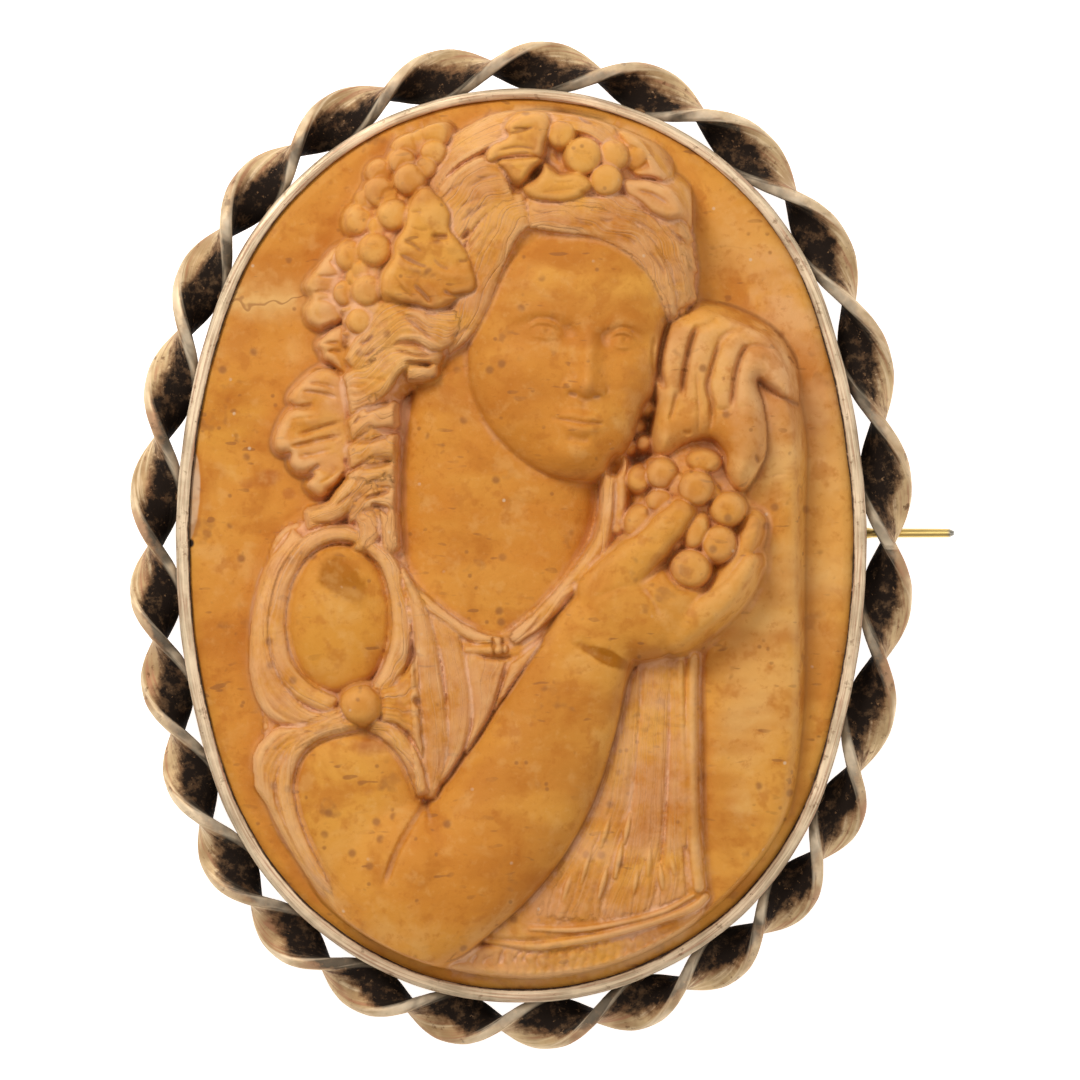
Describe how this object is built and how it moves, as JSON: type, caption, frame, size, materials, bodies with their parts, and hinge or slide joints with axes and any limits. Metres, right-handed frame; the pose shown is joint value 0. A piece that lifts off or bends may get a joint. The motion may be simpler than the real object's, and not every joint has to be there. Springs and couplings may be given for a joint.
{
  "type": "cameo brooch",
  "caption": "Oval brooch: a stone carved in high relief, in a plain bezel with a twisted flat-strip frame, and a straight pin held by a hinge and a hook catch behind.",
  "frame": {"origin": "middle of the oval, on the flat back of the carved stone", "axes": "+Z out of the front, towards the viewer; +Y to the top of the oval; +X to the viewer's right, the way the pin points"},
  "size_m": [0.0463, 0.0564, 0.0114],
  "materials": {
    "stone": "dull honey-orange carved stone",
    "gilt_metal": "aged gilt metal, dark in its hollows",
    "pin_metal": "bright drawn wire"
  },
  "bodies": {
    "root": {"cameo": "stone", "setting": "gilt_metal", "pin_stem": "pin_metal"}
  },
  "joints": []
}
